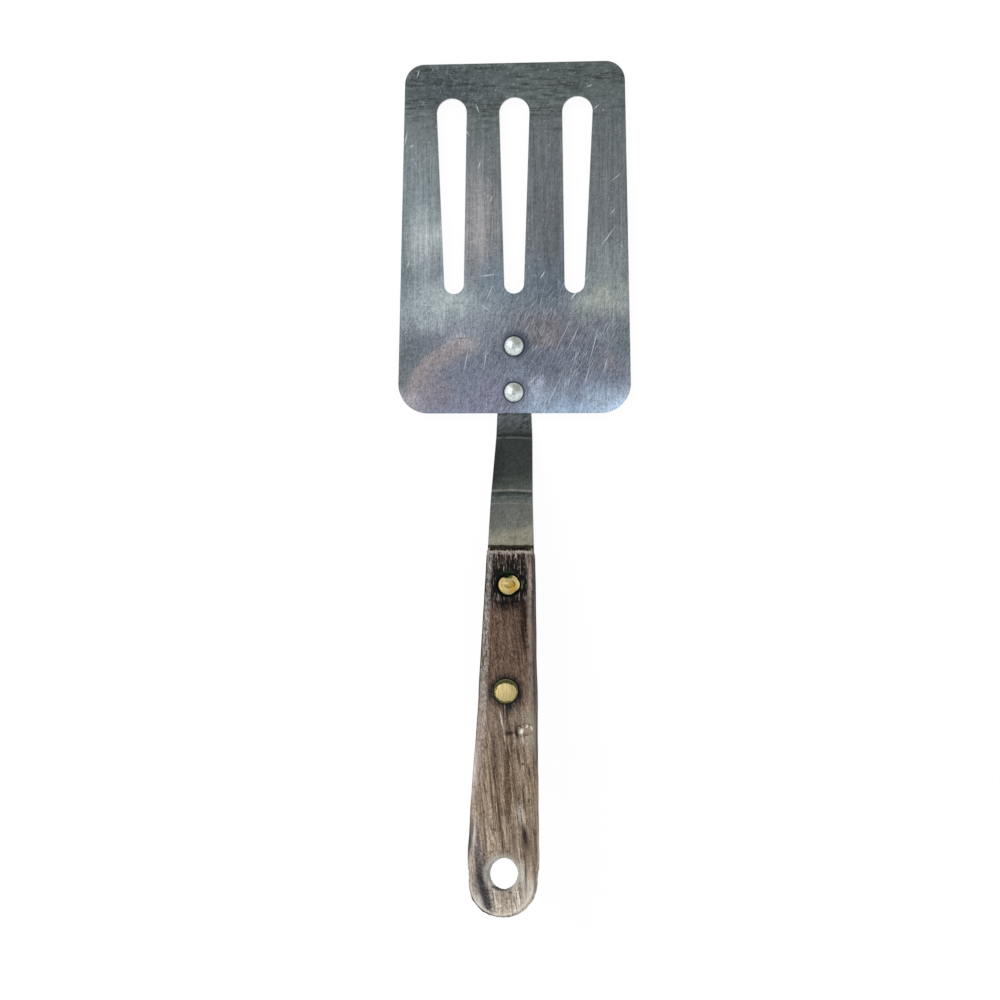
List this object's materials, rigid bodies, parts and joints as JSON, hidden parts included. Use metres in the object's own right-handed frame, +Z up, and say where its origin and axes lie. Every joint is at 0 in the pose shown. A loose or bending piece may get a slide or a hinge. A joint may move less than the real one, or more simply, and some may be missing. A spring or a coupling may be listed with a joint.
{
  "type": "slotted spatula",
  "caption": "Slotted spatula with a thin flat steel blade, a cranked steel shank riveted under it, and a hardwood handle with a hanging hole, riveted over the tang.",
  "frame": {"origin": "on the shank's flat underside, below the middle of the blade's rear edge", "axes": "+Y towards the blade's front edge, +Z up, square to the blade; the handle rises towards -Y"},
  "size_m": [0.0778, 0.2781, 0.0445],
  "materials": {
    "blade_steel": "worn brushed steel with scratches and heat tint",
    "shank_steel": "dull brushed steel",
    "rivet_steel": "satin bright steel",
    "rivet_brass": "worn brass with verdigris round the heads",
    "handle_wood": "weathered unvarnished dark hardwood"
  },
  "bodies": {
    "root": {"blade": "blade_steel", "shank": "shank_steel", "handle": "handle_wood", "blade_rivet_front": "rivet_steel", "blade_rivet_rear": "rivet_steel", "front_rivet_barrel": "rivet_brass", "front_rivet_pin": "rivet_brass", "rear_rivet_barrel": "rivet_brass", "rear_rivet_pin": "rivet_brass"}
  },
  "joints": []
}
